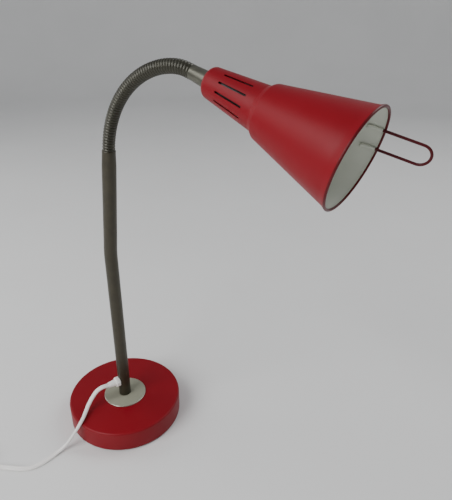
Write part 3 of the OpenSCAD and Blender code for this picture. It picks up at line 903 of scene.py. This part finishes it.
def make_shade():
    """One skin with a rolled rim, cut by the cooling slots."""
    outer = dense(skin_outline(), 4 * MM)
    inner = offset_outline(outer, SKIN)
    bead = [Vector((MOUTH_R - 0.3 * MM, MOUTH_Z)) + BEAD_R * Vector((math.cos(a), math.sin(a)))
            for a in (math.radians(-20 + 230 * k / 20) for k in range(21))]
    outline = outer[:-1] + bead + list(reversed(inner))[1:]
    shade = lathe("shade_shell", outline, [RED_PAINT, LINING_PAINT, SHADED_RIM_PAINT], segments=240)
    paint_shade(shade)
    cutters = [slot_cutter(side * turn) for side in (-1, 1) for turn in SLOT_TURNS]
    cutter = joined("slots", cutters)
    apply_modifier(shade, "BOOLEAN", object=cutter, operation="DIFFERENCE", solver="EXACT")
    bpy.data.objects.remove(cutter)
    smooth_shade(shade)
    shade.data.transform(HEAD)
    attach(shade, "head")
    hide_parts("shade")


def paint_shade(shade):
    """Red outside, pale grey inside, and a darker red on the rolled rim as painted shade."""
    for face in shade.data.polygons:
        centre = face.center
        r = math.hypot(centre.x, centre.y)
        outward = (face.normal.x * centre.x + face.normal.y * centre.y) / max(r, 1e-6)
        # Rim faces take the darker red, which is painted shade
        if centre.z > MOUTH_Z - 0.5 * MM and r > MOUTH_R - 2 * MM:
            face.material_index = 2
        elif outward < -0.02 or (face.normal.z > 0.3 and centre.z < CONE_Z):
            face.material_index = 1


def smooth_shade(shade):
    """Smooth normals all round, but flat ones on the cut faces of the slots."""
    smooth_by_angle(shade, 30)
    lean = math.atan((SHOULDER_R - REAR_R) / (SHOULDER_Z - REAR_Z))
    normals = []
    low, high = 30 * MM, 75 * MM
    data = shade.data
    for face in data.polygons:
        for index in face.loop_indices:
            corner = data.vertices[data.loops[index].vertex_index].co
            flat = Vector((corner.x, corner.y, 0)).normalized()
            skin = flat * math.cos(lean) - UP * math.sin(lean)
            on_rear = low < corner.z < high
            if on_rear and face.normal.dot(skin) > 0.98:
                normals.append(skin)
            elif on_rear and face.normal.dot(skin) < -0.98:
                normals.append(-skin)
            else:
                normals.append(data.corner_normals[index].vector.copy())
    data.normals_split_custom_set([tuple(n) for n in normals])


def make_handle():
    """The wire loop, and its two feet under the lining's paint."""
    place = (HEAD @ Matrix.Rotation(HANDLE_TURN, 4, "Z")
             @ Matrix.Translation((HANDLE_FOOT_R, 0, MOUTH_Z))
             @ Matrix.Rotation(CONE_ANGLE, 4, "Y"))
    half, out, inside = 9 * MM, 33 * MM, 12 * MM
    loop = [Vector((0, -half, -1 * MM + (out + 1 * MM) * k / 10)) for k in range(11)]
    loop += [Vector((0, -half * math.cos(a), out + half * math.sin(a)))
             for a in (math.pi * k / 32 for k in range(1, 32))]
    loop += [Vector((0, half, out - (out + 1 * MM) * k / 10)) for k in range(11)]
    # The wire takes the darker red, which is painted shade
    wire = tube("handle_wire", [place @ p for p in loop], 1.25 * MM, SHADED_WIRE_PAINT)
    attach(wire, "head")
    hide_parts("handle_loop")
    feet = []
    for side in (-1, 1):
        foot = [Vector((0, side * half, -1 * MM - (inside - 1 * MM) * k / 8)) for k in range(9)]
        foot += [Vector((0.2 * MM, side * half - 0.5 * MM, -inside - 0.8 * MM)),
                 Vector((0.3 * MM, side * half - 1.6 * MM, -inside - 1.2 * MM))]
        feet.append(tube("foot", [place @ p for p in foot], 1.22 * MM, LINING_PAINT))
    feet = joined("handle_feet", feet)
    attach(feet, "head")


def tube(name, path, radius, material, segments=20):
    """A round wire along a path, with domed ends."""
    rings = []
    frame_side = None
    for i, p in enumerate(path):
        along = (path[min(i + 1, len(path) - 1)] - path[max(i - 1, 0)]).normalized()
        if frame_side is None:
            frame_side = along.orthogonal().normalized()
        frame_side = (frame_side - along * frame_side.dot(along)).normalized()
        rings.append((p, along, frame_side.copy()))
    capped = []
    first, last = rings[0], rings[-1]
    for k in (0, 1, 2):
        a = math.pi / 2 * k / 3
        capped.append((first[0] - first[1] * radius * math.cos(a), first[1], first[2],
                       max(0.02, math.sin(a))))
    capped += [(p, along, side, 1.0) for p, along, side in rings]
    for k in (2, 1, 0):
        a = math.pi / 2 * k / 3
        capped.append((last[0] + last[1] * radius * math.cos(a), last[1], last[2],
                       max(0.02, math.sin(a))))
    points = []
    for p, along, side, share in capped:
        other = along.cross(side)
        for k in range(segments):
            a = 2 * math.pi * k / segments
            points.append(p + radius * share * (math.cos(a) * side + math.sin(a) * other))
    return mesh_object(name, points, grid_faces(len(capped), segments), [material], 60)


def make_bulb():
    """The opal bulb's glass, open where its cap is."""
    glass_r, centre = 22.5 * MM, 99 * MM
    neck_z = 73 * MM
    profile = [(7 * MM, neck_z - 1 * MM), (7.2 * MM, neck_z + 1 * MM), (8.6 * MM, neck_z + 4 * MM),
               (10.6 * MM, neck_z + 7 * MM)]
    outline = [Vector(p) for p in profile]
    start = math.asin(13.0 * MM / glass_r)
    for k in range(41):
        a = start + (math.pi - start) * k / 40
        outline.append(Vector((max(1e-7, glass_r * math.sin(a)), centre - glass_r * math.cos(a))))
    bulb = lathe("bulb", outline, [OPAL_GLASS], HEAD, 96, closed=False)
    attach(bulb, "head")
    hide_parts("bulb_glass")


make_base_cover()
make_disc()
make_stem()
make_grommet()
make_neck()
make_collar()
make_shade()
make_handle()
make_bulb()


# ---------- Setting ----------

def make_floor():
    """A pale round floor that curves up into a low wall all round."""
    reach, curve, top = 2.6, 1.0, 1.9
    outline = [(0.0, 0.0), (reach, 0.0)]
    outline += [(reach + curve * math.sin(a), curve - curve * math.cos(a))
                for a in (math.pi / 2 * k / 16 for k in range(1, 17))]
    outline.append((reach + curve, top))
    finish = Finish("floor", (0.80, 0.80, 0.79), 0.6)
    finish.colours(finish.ramp(finish.noise(3, 3), 0, 1), (0.79, 0.79, 0.78), (0.81, 0.81, 0.80))
    floor = lathe("floor", outline, [finish.material], segments=96, closed=False)
    floor.data.flip_normals()


def area_light(name, at, aim, size, power):
    data = bpy.data.lights.new(name, "AREA")
    data.shape = "RECTANGLE"
    data.size, data.size_y = size
    data.energy = power
    light = bpy.data.objects.new(name, data)
    light.location = at
    light.rotation_euler = (Vector(aim) - Vector(at)).to_track_quat("-Z", "Y").to_euler()
    bpy.context.scene.collection.objects.link(light)


def make_lights():
    """A large soft window light, two weaker fills and a dim sky."""
    target = (0.08, 0, 0.25)
    area_light("window", (-0.25, -1.55, 1.35), target, (1.3, 1.3), 34)
    area_light("side", (-1.5, -0.4, 1.0), target, (0.9, 1.2), 7)
    area_light("back", (0.75, 1.45, 1.7), target, (1.2, 1.2), 14)
    world = bpy.data.worlds.new("world")
    world.use_nodes = True
    world.node_tree.nodes["Background"].inputs["Color"].default_value = (0.93, 0.95, 1.0, 1)
    world.node_tree.nodes["Background"].inputs["Strength"].default_value = 0.32
    bpy.context.scene.world = world


make_floor()
make_lights()
